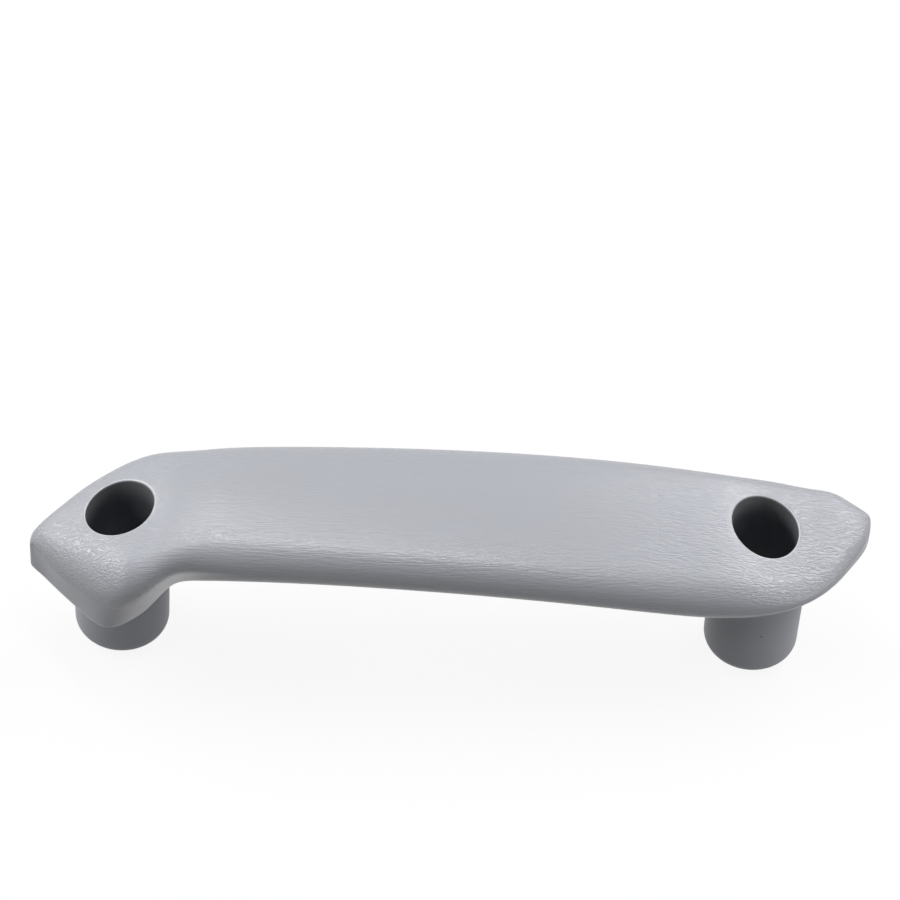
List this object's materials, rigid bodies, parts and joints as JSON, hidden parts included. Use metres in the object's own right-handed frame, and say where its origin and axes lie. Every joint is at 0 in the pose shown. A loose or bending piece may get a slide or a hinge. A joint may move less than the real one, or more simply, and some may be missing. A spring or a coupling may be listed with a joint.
{
  "type": "interior door pull handle",
  "caption": "Curved grip bar with a deep boss at one end, a thin pointed end, and a round screw post under each.",
  "frame": {"origin": "midway between the two screw holes, on the plane of the post ends, which is the door's face", "axes": "+X along the screws' line from the boss to the pointed end, +Z away from the door, +Y towards the edge of the bar that is higher at the pointed end"},
  "size_m": [0.2465, 0.0488, 0.0639],
  "materials": {
    "grey_plastic": "satin"
  },
  "bodies": {
    "root": {"handle_moulding": "grey_plastic"}
  },
  "joints": []
}
